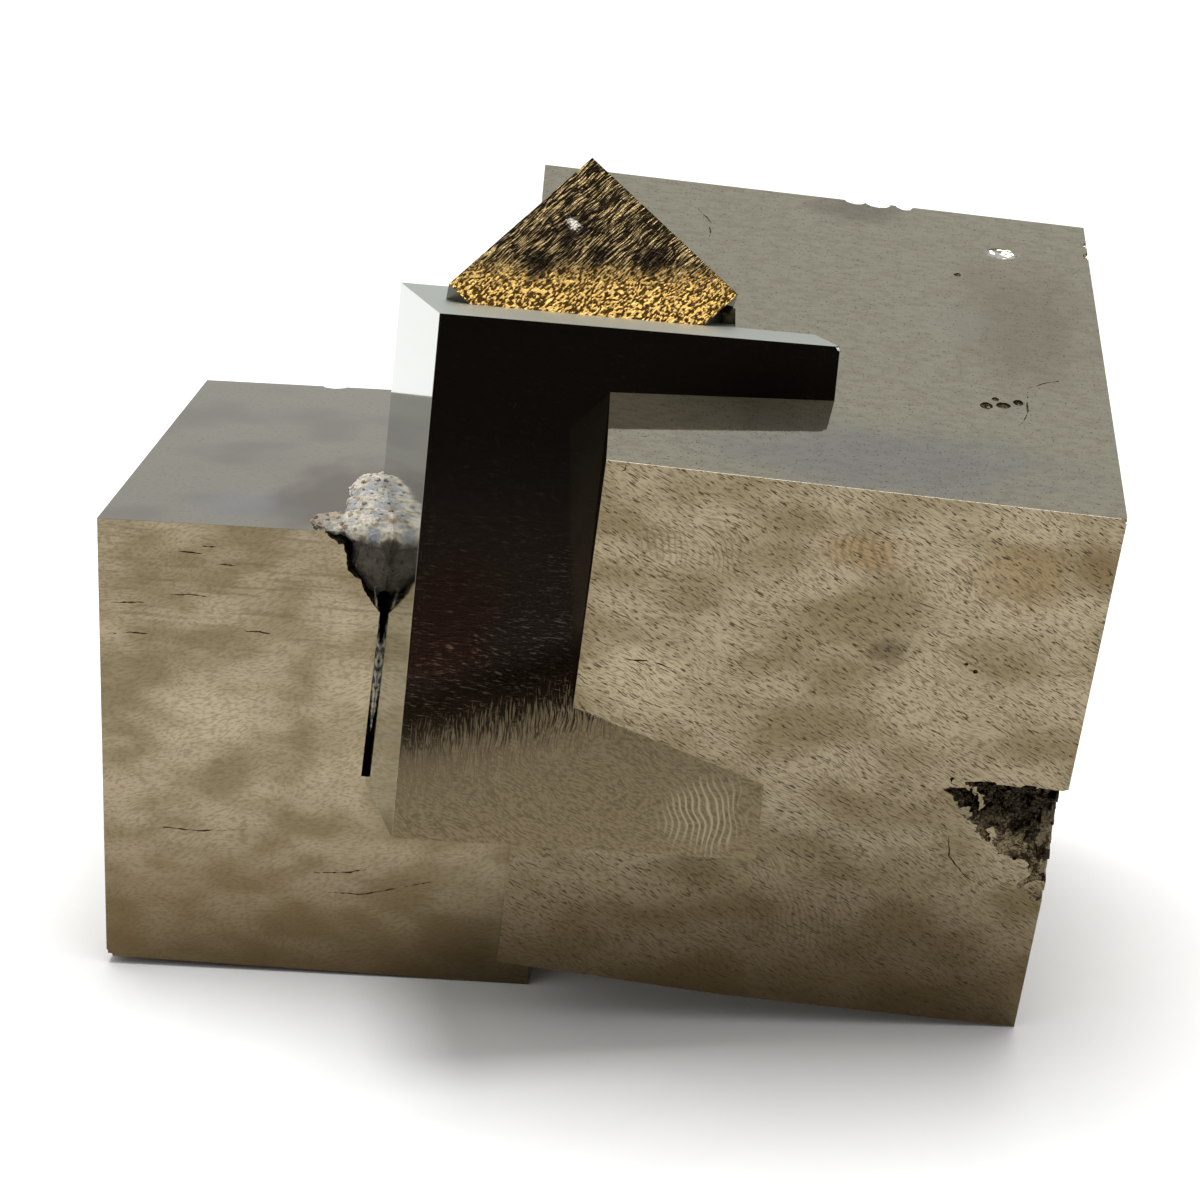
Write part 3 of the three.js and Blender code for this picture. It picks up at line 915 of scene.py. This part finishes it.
def scar_recipe():
    """A slab whose back follows the depth of the break."""
    inputs = {"Size": "Vector", "Middle": "Vector", "Front": "Float", "Across": "Int", "Down": "Int"}
    tree, given = new_recipe("Broken corner", inputs)
    wires = {
        "Size": given["Size"],
        "Vertices X": given["Across"],
        "Vertices Y": 2,
        "Vertices Z": given["Down"],
    }
    slab = add(tree, "GeometryNodeMeshCube", wires)
    wires = {"Geometry": slab.outputs["Mesh"], "Translation": given["Middle"]}
    moved = add(tree, "GeometryNodeTransform", wires).outputs["Geometry"]
    where = add(tree, "GeometryNodeInputPosition").outputs[0]
    parts = add(tree, "ShaderNodeSeparateXYZ", {0: where}).outputs
    ragged = bent(tree, where, SCAR_WAVER, SCAR_WAVER)
    run = (SCAR_FOOT - SCAR_TIP).normalized()
    inward = Vector((-run.y, 0.0, run.x)) * SCAR_SLOPE
    start = inward.x * (SCAR_TIP.x + SCAR_WAVER / 2) + inward.z * (SCAR_TIP.y + SCAR_WAVER / 2)
    slope = worked(tree, "SUBTRACT", along_axis(tree, ragged, inward), start)
    ledge = times(tree, worked(tree, "SUBTRACT", SCAR_LEDGE, parts["Z"]), SCAR_LEDGE_SLOPE)
    depth = worked(tree, "MINIMUM", ledge, slope)
    step = between(tree, plates(tree, where), -SCAR_PLATE_STEP - SCAR_INSET, SCAR_PLATE_STEP - SCAR_INSET)
    grain = cloud(tree, where, SCAR_GRAIN, detail=2.0)["Fac"]
    hackly = between(tree, grain, -SCAR_GRAIN_DEPTH, SCAR_GRAIN_DEPTH)
    broken = worked(tree, "ADD", worked(tree, "ADD", depth, step), hackly)
    back = worked(tree, "ADD", worked(tree, "MAXIMUM", broken, -OUTSIDE / 2), given["Front"])
    target = add(tree, "ShaderNodeCombineXYZ", {"X": parts["X"], "Y": back, "Z": parts["Z"]})
    behind = add(tree, "ShaderNodeSeparateXYZ", {0: given["Middle"]}).outputs["Y"]
    far = add(tree, "FunctionNodeCompare", {0: parts["Y"], 1: behind}, operation="GREATER_THAN")
    wires = {"Geometry": moved, "Selection": far.outputs[0], "Position": target.outputs[0]}
    shaped = add(tree, "GeometryNodeSetPosition", wires)
    return end_recipe(tree, shaped.outputs["Geometry"], broken_pyrite)


def scar_cutter():
    """The corner that broke off the right crystal."""
    low, high = corners_of(RIGHT)
    size = Vector((high.x - SCAR_TIP.x + 2 * OUTSIDE, OUTSIDE, SCAR_LEDGE - SCAR_FOOT.y + 2 * OUTSIDE))
    corner = Vector((high.x + OUTSIDE, low.y - 2 * OUTSIDE, SCAR_LEDGE + OUTSIDE))
    values = {
        "Size": size,
        "Middle": corner - Vector((size.x, 0, size.z)) / 2,
        "Front": low.y,
        "Across": round(size.x / SCAR_CELL),
        "Down": round(size.z / SCAR_CELL),
    }
    return follow(scar_recipe(), bpy.data.meshes.new("start"), RIGHT, **values)


# %% [markdown]
# The left cube lost a bit of its top front edge beside the middle block: a pocket with a ragged
# outline, and a crack that runs down from it. A cutter is extruded from the outline, and noise
# on its sides makes it ragged.

# %% The left cube
POCKET_OUTLINE = (
    (0.5, 14.0),
    (0.5, 12.8),
    (1.6, 12.2),
    (1.9, 10.8),
    (2.5, 10.2),
    (3.5, 8.5),
    (5.0, 8.5),
    (5.0, 14.0),
)
POCKET_DEPTH = 2.6
POCKET_CUTS = 14
RAGGED = 0.16
RAGGED_SIZE = 0.5
RAGGED_DETAIL = 3
CRACK_WIDTH = 0.25
CRACK_FRONT = 1.0
CRACK_BACK = 6.6
CRACK_TOP = -3.4
CRACK_BOTTOM = -13.3
LEFT_PITS = (
    ((-4.1, -LEFT_FACE, LEFT_TOP), (0.7, 0.4, 0.3)),
    ((-12.0, LEFT_FACE, -LEFT_TOP), (0.35, 0.35, 0.35)),
)
LEFT_CRACKS = (
    ((-8.1, LEFT_FACE, 11.25), (-7.0, LEFT_FACE, 11.3), (-6.1, LEFT_FACE, 11.3)),
    ((-6.5, LEFT_FACE, 11.75), (-5.3, LEFT_FACE, 11.7)),
    ((-5.3, LEFT_FACE, 10.7), (-4.3, LEFT_FACE, 10.65)),
    ((-8.2, LEFT_FACE, 8.75), (-7.0, LEFT_FACE, 8.85), (-5.7, LEFT_FACE, 8.8)),
    ((-11.7, LEFT_FACE, 8.1), (-10.4, LEFT_FACE, 8.25), (-9.0, LEFT_FACE, 8.3)),
    ((-11.6, LEFT_FACE, 6.3), (-10.2, LEFT_FACE, 6.45), (-8.8, LEFT_FACE, 6.45)),
    ((-4.0, LEFT_FACE, 6.9), (-3.1, LEFT_FACE, 6.95), (-2.2, LEFT_FACE, 6.85)),
    ((-9.9, LEFT_FACE, -4.85), (-6.8, LEFT_FACE, -5.0), (-3.7, LEFT_FACE, -4.7)),
    ((-0.2, LEFT_FACE, -7.05), (1.9, LEFT_FACE, -6.9), (3.7, LEFT_FACE, -6.4)),
    ((0.5, LEFT_FACE, -8.2), (2.8, LEFT_FACE, -8.15), (7.0, LEFT_FACE, -7.0)),
)
LEFT_CRACK_HALF_WIDTH = 0.05
LEFT_CRACK_BEND = 0.25
FILLING_FACE = -13.75
FILLING_PATH = (
    (3.3, FILLING_FACE, 9.9),
    (3.4, FILLING_FACE, 6.9),
    (3.2, FILLING_FACE, 3.4),
    (3.1, FILLING_FACE, 1.2),
)
FILLING_HALF_WIDTH = 0.2
FILLING_BEND = 0.2


def pocket_cutter():
    """The bit that is missing beside the middle block, with ragged sides."""
    shape = bmesh.new()
    low, _ = corners_of(LEFT)
    rim = [shape.verts.new((x, low.y - OUTSIDE, z)) for x, z in POCKET_OUTLINE]
    grown = bmesh.ops.extrude_face_region(shape, geom=[shape.faces.new(rim)])
    moved = [part for part in grown["geom"] if isinstance(part, bmesh.types.BMVert)]
    bmesh.ops.translate(shape, vec=(0, OUTSIDE + POCKET_DEPTH, 0), verts=moved)
    bmesh.ops.subdivide_edges(shape, edges=shape.edges[:], cuts=POCKET_CUTS, use_grid_fill=True)
    bmesh.ops.triangulate(shape, faces=shape.faces[:])
    for corner in shape.verts:
        corner.co += RAGGED * noise.turbulence_vector(corner.co / RAGGED_SIZE, RAGGED_DETAIL, False)
    bmesh.ops.recalc_face_normals(shape, faces=shape.faces[:])
    mesh = bpy.data.meshes.new("pocket")
    shape.to_mesh(mesh)
    shape.free()
    mesh.transform(frame_of(LEFT))
    # The pocket's walls take the crevice's painted shade.
    mesh.materials.append(crevice_painted_shade)
    return show("pocket", mesh)


def left_crystal():
    """The left cube with its pits, hairline cracks, pocket and the crack with its filling."""
    body = block(LEFT, *corners_of(LEFT), left_pyrite)
    pitted(body, LEFT, LEFT_PITS, left_pyrite)
    cracked(body, LEFT, LEFT_CRACKS, LEFT_CRACK_HALF_WIDTH, LEFT_CRACK_BEND)
    combine(body, pocket_cutter(), "DIFFERENCE")
    left_side = corners_of(MIDDLE)[0].x
    low = (left_side - CRACK_WIDTH, CRACK_FRONT, CRACK_BOTTOM)
    high = (left_side + OUTSIDE, CRACK_BACK, CRACK_TOP)
    # The crack's walls take the crevice's painted shade.
    combine(body, block(MIDDLE, low, high, crevice_painted_shade, wear=0.0), "DIFFERENCE")
    filling = along(FILLING_PATH, LEFT, FILLING_HALF_WIDTH, FILLING_BEND, crack_marl)
    return combine(body, filling, "UNION")


left_body = left_crystal()
print("left cube:", len(left_body.data.polygons), "faces")

# %% [markdown]
# The right crystal grew in steps: a main block, a lower and a rear block that stand out to the
# left, and a hair-thin ledge on its right side.

# %% The right crystal
RIGHT_UPPER_FRONT_STEP = 4.4
RIGHT_LOWER_STEP = 2.15
RIGHT_LOWER_STEP_TOP = -3.0
RIGHT_BACK_STEP_FRONT = -4.0
RIGHT_BACK_STEP_BOTTOM = -8.0
RIGHT_LEDGE = 0.15
RIGHT_LEDGE_BOTTOM = -0.4
RIGHT_FOOT_START = -0.5
RIGHT_FOOT_ANGLE = 2.6
NOTCH_RIGHT = -4.5
NOTCH_FRONT = -6.0
NOTCH_BACK = 1.5
NOTCH_BOTTOM = 12.0
RIGHT_BACK = -RIGHT_FACE
RIGHT_PITS = (
    ((8.7, -5.9, RIGHT_TOP), (0.35, 0.35, 0.2)),
    ((9.6, -5.7, RIGHT_TOP), (0.4, 0.3, 0.2)),
    ((10.4, -5.2, RIGHT_TOP), (0.3, 0.3, 0.2)),
    ((9.2, -5.1, RIGHT_TOP), (0.2, 0.2, 0.15)),
    ((7.8, 8.3, RIGHT_TOP), (0.2, 0.2, 0.15)),
    ((9.3, RIGHT_FACE, 6.3), (0.12, 0.1, 0.12)),
    ((8.8, RIGHT_FACE, 6.7), (0.1, 0.08, 0.1)),
)
RIGHT_NICKS = (
    ((2.3, RIGHT_BACK, RIGHT_TOP), (0.6, 0.4, 0.3)),
    ((3.6, RIGHT_BACK, RIGHT_TOP), (0.7, 0.5, 0.35)),
    ((5.1, RIGHT_BACK, RIGHT_TOP), (0.5, 0.4, 0.3)),
    ((10.4, 11.4, RIGHT_TOP), (0.9, 0.6, 0.15)),
    ((15.3, 13.6, RIGHT_TOP), (0.3, 0.3, 0.2)),
    ((15.3, 12.3, RIGHT_TOP), (0.25, 0.4, 0.2)),
    ((15.3, RIGHT_FACE, RIGHT_TOP), (0.25, 0.25, 0.25)),
)
RIGHT_CRACKS = (
    ((-6.7, 12.8, RIGHT_TOP), (-5.9, 11.1, RIGHT_TOP), (-6.0, 9.0, RIGHT_TOP)),
    ((10.9, -3.6, RIGHT_TOP), (12.1, -2.7, RIGHT_TOP), (13.3, -2.1, RIGHT_TOP)),
    ((10.9, -3.9, RIGHT_TOP), (10.9, -5.6, RIGHT_TOP), (10.5, -7.4, RIGHT_TOP)),
    ((9.6, RIGHT_FACE, -4.2), (9.8, RIGHT_FACE, -5.4), (10.6, RIGHT_FACE, -6.4), (11.6, RIGHT_FACE, -7.1)),
    (
        (-10.5, RIGHT_FACE, 16.2),
        (-10.0, RIGHT_FACE, 16.2),
        (-9.9, RIGHT_FACE, 15.9),
        (-10.3, RIGHT_FACE, 15.75),
    ),
    ((-8.9, RIGHT_FACE, 4.6), (-7.4, RIGHT_FACE, 4.7), (-6.0, RIGHT_FACE, 4.3)),
)
RIGHT_CRACK_HALF_WIDTH = 0.06
RIGHT_CRACK_BEND = 0.3


def foot_cutter():
    """A wedge under the crystal, so that its foot rises a little to the left."""
    low, _ = corners_of(RIGHT)
    reach = RIGHT.size[0]
    wedge = block(RIGHT, (-reach, -reach, -OUTSIDE), (0.0, reach, 0.0), right_pyrite, wear=0.0)
    lift = Matrix.Translation((RIGHT_FOOT_START, 0.0, low.z))
    lift = lift @ Matrix.Rotation(math.radians(RIGHT_FOOT_ANGLE), 4, "Y")
    place = frame_of(RIGHT)
    wedge.data.transform(place @ lift @ place.inverted())
    return wedge


def right_crystal():
    """The right crystal with its steps, notch, scar, pits and cracks."""
    low, high = corners_of(RIGHT)
    main_low = (low.x + RIGHT_UPPER_FRONT_STEP, low.y, low.z)
    main_high = (high.x - RIGHT_LEDGE, high.y, high.z)
    body = block(RIGHT, main_low, main_high, right_pyrite)
    steps = (
        ((0.0, low.y, RIGHT_LEDGE_BOTTOM), high),
        ((low.x + RIGHT_LOWER_STEP, low.y, low.z), (0.0, high.y, RIGHT_LOWER_STEP_TOP)),
        ((low.x, RIGHT_BACK_STEP_FRONT, RIGHT_BACK_STEP_BOTTOM), (0.0, high.y, high.z)),
    )
    for bottom, top in steps:
        combine(body, block(RIGHT, bottom, top, right_pyrite), "UNION")
    combine(body, foot_cutter(), "DIFFERENCE")
    notch_low = (low.x - OUTSIDE, NOTCH_FRONT, NOTCH_BOTTOM)
    notch_high = (NOTCH_RIGHT, NOTCH_BACK, high.z + OUTSIDE)
    combine(body, block(RIGHT, notch_low, notch_high, right_pyrite, wear=0.0), "DIFFERENCE")
    combine(body, scar_cutter(), "DIFFERENCE")
    # Painted shade in the pits.
    pitted(body, RIGHT, RIGHT_PITS, crevice_painted_shade)
    pitted(body, RIGHT, RIGHT_NICKS, right_pyrite)
    return cracked(body, RIGHT, RIGHT_CRACKS, RIGHT_CRACK_HALF_WIDTH, RIGHT_CRACK_BEND)


right_body = right_crystal()
print("right crystal:", len(right_body.data.polygons), "faces")

# %% [markdown]
# The middle block has a wider arm at its top, and the small cube stands in its top, on one edge.
# All four are then joined, so that no crystal has faces inside another.

# %% The middle block, the small cube and the whole cluster
MIDDLE_ARM_REACH = 1.6
MIDDLE_ARM_BOTTOM = 1.5
MIDDLE_PITS = (((10.45, MIDDLE_FACE, 13.65), (0.3, 0.3, 0.2)),)


def middle_crystal():
    """The middle block with its arm."""
    low, high = corners_of(MIDDLE)
    body = block(MIDDLE, low, (high.x - MIDDLE_ARM_REACH, high.y, high.z), middle_pyrite)
    arm = block(MIDDLE, (0.0, low.y, MIDDLE_ARM_BOTTOM), high, middle_pyrite)
    return pitted(combine(body, arm, "UNION"), MIDDLE, MIDDLE_PITS, middle_pyrite)


cluster = left_body
cluster.name = "pyrite_crystals"
combine(cluster, right_body, "UNION")
combine(cluster, middle_crystal(), "UNION")
combine(cluster, block(SMALL, *corners_of(SMALL), small_pyrite), "UNION")
cluster.data.name = cluster.name
print("cluster:", len(cluster.data.polygons), "faces,", [m.name for m in cluster.data.materials])

# %% [markdown]
# The marl clings in the pocket and along the middle block's left face. It is a few balls melted
# together: the recipe turns them into one volume, takes its skin, roughens it and scatters
# crumbs over it.

# %% The marl lump
LUMPS = (
    ((3.3, -12.1, 12.8), (2.6, 1.7, 0.9)),
    ((2.9, -9.6, 12.9), (2.1, 2.4, 0.9)),
    ((2.0, -6.4, 12.9), (1.4, 2.6, 0.8)),
    ((0.7, -12.2, 12.8), (1.3, 1.4, 0.5)),
    ((3.2, -12.4, 11.2), (1.5, 1.35, 2.1)),
)
LUMP_BALL_DETAIL = 4
SKIN_CELL = 0.14
SKIN_BAND = 0.5
SKIN_COARSE = {"size": 0.9, "depth": 0.35, "seed": 2.0}
SKIN_FINE = {"size": 0.3, "depth": 0.2, "seed": 3.0}
CRUMB_SPACING = 0.6
CRUMB_DENSITY = 6.0
CRUMB_PLACE_SEED = 4
CRUMB_SIZE = 0.17
CRUMB_DETAIL = 2
CRUMB_ROUGH = {"size": 0.2, "depth": 0.08, "seed": 5.0}
CRUMB_SMALLEST = 0.35
CRUMB_SIZE_SEED = 6


def marl_recipe():
    """Balls melted into one lump with a rough skin and crumbs."""
    inputs = {"Skin cell": "Float", "Crumb spacing": "Float", "Crumb size": "Float"}
    tree, given = new_recipe("Marl", inputs)
    balls = balls_on(tree, given["Geometry"], LUMP_BALL_DETAIL)
    wires = {"Mesh": balls, "Voxel Size": given["Skin cell"], "Interior Band Width": SKIN_BAND}
    melted = add(tree, "GeometryNodeMeshToVolume", wires, resolution_mode="VOXEL_SIZE")
    wires = {"Volume": melted.outputs["Volume"], "Voxel Size": given["Skin cell"]}
    skin = add(tree, "GeometryNodeVolumeToMesh", wires, resolution_mode="VOXEL_SIZE")
    fine = roughened(tree, roughened(tree, skin.outputs["Mesh"], **SKIN_COARSE), **SKIN_FINE)
    wires = {
        "Mesh": fine,
        "Distance Min": given["Crumb spacing"],
        "Density Max": CRUMB_DENSITY,
        "Seed": CRUMB_PLACE_SEED,
    }
    spots = add(tree, "GeometryNodeDistributePointsOnFaces", wires, distribute_method="POISSON")
    wires = {"Radius": given["Crumb size"], "Subdivisions": CRUMB_DETAIL}
    crumb = add(tree, "GeometryNodeMeshIcoSphere", wires)
    lumpy = roughened(tree, crumb.outputs["Mesh"], **CRUMB_ROUGH)
    wires = {2: CRUMB_SMALLEST, 3: 1.0, "Seed": CRUMB_SIZE_SEED}
    share = add(tree, "FunctionNodeRandomValue", wires, data_type="FLOAT")
    wires = {"Points": spots.outputs["Points"], "Instance": lumpy, "Scale": share.outputs[1]}
    crumbs = add(tree, "GeometryNodeInstanceOnPoints", wires)
    both = add(tree, "GeometryNodeJoinGeometry", {0: fine})
    tree.links.new(crumbs.outputs["Instances"], both.inputs[0])
    smooth = add(tree, "GeometryNodeSetShadeSmooth", {"Geometry": both.outputs["Geometry"]})
    return end_recipe(tree, smooth.outputs["Geometry"], marl)


sizes = {"Skin cell": SKIN_CELL, "Crumb spacing": CRUMB_SPACING, "Crumb size": CRUMB_SIZE}
marl_lump = follow(marl_recipe(), points(LUMPS), LEFT, **sizes)
marl_lump.name = "marl_remnant"
marl_lump.data.name = marl_lump.name
print("marl lump:", len(marl_lump.data.polygons), "faces")

# %% [markdown]
# The specimen stands on white paper inside a light tent: white all round and above, with an
# opening at the front that shows the dark room. That opening is what the middle block mirrors.

# %% Paper floor and light tent
PAPER_WHITE = "#F4F4F3"
PAPER_FIBRE = "#F0F0EF"
PAPER_FIBRE_SIZE = 4.0
PAPER_DULL = 0.8
FLOOR_HALF_WIDTH = 600.0
FLOOR_FRONT = -380.0
FLOOR_BACK = 900.0
OPENING_DIRECTION = (0.22, -0.97, 0.05)
OPENING_INNER = 24.0
OPENING_OUTER = 52.0
TENT_WHITE = "#FFFFFF"
TENT_DARK = "#2A2522"
TENT_STRENGTH = 0.75
LAMP_PLACE = (0.0, 50.0, 620.0)
LAMP_SIZE = 400.0
LAMP_POWER = 3.5


def paper():
    """White paper: dull, with a faint fibre grain."""
    material, tree, shader = new_finish("Paper, white", PAPER_DULL, metallic=0.0)
    here = add(tree, "ShaderNodeTexCoord").outputs["Object"]
    fibres = cloud(tree, here, PAPER_FIBRE_SIZE * MM, detail=2.0)["Fac"]
    coats = [(fibres, 1.0, PAPER_FIBRE)]
    tree.links.new(coated(tree, PAPER_WHITE, coats), shader.inputs["Base Color"])
    return material


def paper_floor():
    """The flat sheet that the specimen stands on."""
    mesh = bpy.data.meshes.new("floor")
    half = FLOOR_HALF_WIDTH
    front_edge = [(-half, FLOOR_FRONT, 0), (half, FLOOR_FRONT, 0)]
    corners = [*front_edge, (half, FLOOR_BACK, 0), (-half, FLOOR_BACK, 0)]
    mesh.from_pydata([Vector(corner) * MM for corner in corners], [], [(0, 1, 2, 3)])
    mesh.materials.append(paper())
    floor = show("floor", mesh)
    return floor


def light_tent():
    """Soft light from all round, except from the dark opening at the front."""
    world = bpy.data.worlds.new("Light tent")
    scene.world = world
    world.use_nodes = True
    tree = world.node_tree
    tree.nodes.clear()
    direction = add(tree, "ShaderNodeTexCoord").outputs["Generated"]
    opening = Vector(OPENING_DIRECTION).normalized()
    rim = math.cos(math.radians(OPENING_OUTER))
    inside = math.cos(math.radians(OPENING_INNER))
    dark = fade(tree, along_axis(tree, direction, opening), rim, inside)
    seen = coated(tree, TENT_WHITE, [(dark, 1.0, TENT_DARK)])
    tent = add(tree, "ShaderNodeBackground", {"Color": seen, "Strength": TENT_STRENGTH})
    white = add(tree, "ShaderNodeBackground", {"Color": colour(TENT_WHITE), "Strength": 1.0})
    ray = add(tree, "ShaderNodeLightPath")
    wires = {0: ray.outputs["Is Camera Ray"], 1: tent.outputs[0], 2: white.outputs[0]}
    both = add(tree, "ShaderNodeMixShader", wires)
    add(tree, "ShaderNodeOutputWorld", {"Surface": both.outputs[0]})


def overhead_lamp():
    """A soft lamp above."""
    lamp = bpy.data.lights.new("lamp", "AREA")
    lamp.size = LAMP_SIZE * MM
    lamp.energy = LAMP_POWER
    holder = bpy.data.objects.new("lamp", lamp)
    holder.location = Vector(LAMP_PLACE) * MM
    holder.rotation_euler = (-holder.location).to_track_quat("-Z", "Y").to_euler()
    scene.collection.objects.link(holder)
    return holder


paper_floor()
light_tent()
overhead_lamp()
scene.view_settings.view_transform = "Standard"
print("light tent with a lamp of", LAMP_POWER, "W")

# %% [markdown]
# The camera stands where the photograph's did: a little above the specimen, straight in front,
# with a long lens.

# %% Camera
CAMERA_PLACE = (0.2, -215.16, 93.02)
CAMERA_DOWN = 18.81
CAMERA_LENS = 121.4
CAMERA_SENSOR = 36.0
CAMERA_NEAR = 0.01

view = bpy.data.cameras.new("camera")
view.lens = CAMERA_LENS
view.sensor_width = CAMERA_SENSOR
view.clip_start = CAMERA_NEAR
camera = bpy.data.objects.new("camera", view)
camera.location = Vector(CAMERA_PLACE) * MM
camera.rotation_euler = (math.radians(90 - CAMERA_DOWN), 0.0, 0.0)
scene.collection.objects.link(camera)
scene.camera = camera
print("camera", CAMERA_LENS, "mm,", CAMERA_DOWN, "degrees down")

# %% [markdown]
# Last, each piece rides on the root body, and the solid that it stands for is hidden.

# %% Attach the pieces and hide their solids
for piece, node, slot in (
    (cluster, "pyrite_cluster", "pyrite"),
    (marl_lump, "matrix_remnant", "matrix"),
):
    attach(piece, "root")
    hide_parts(node)
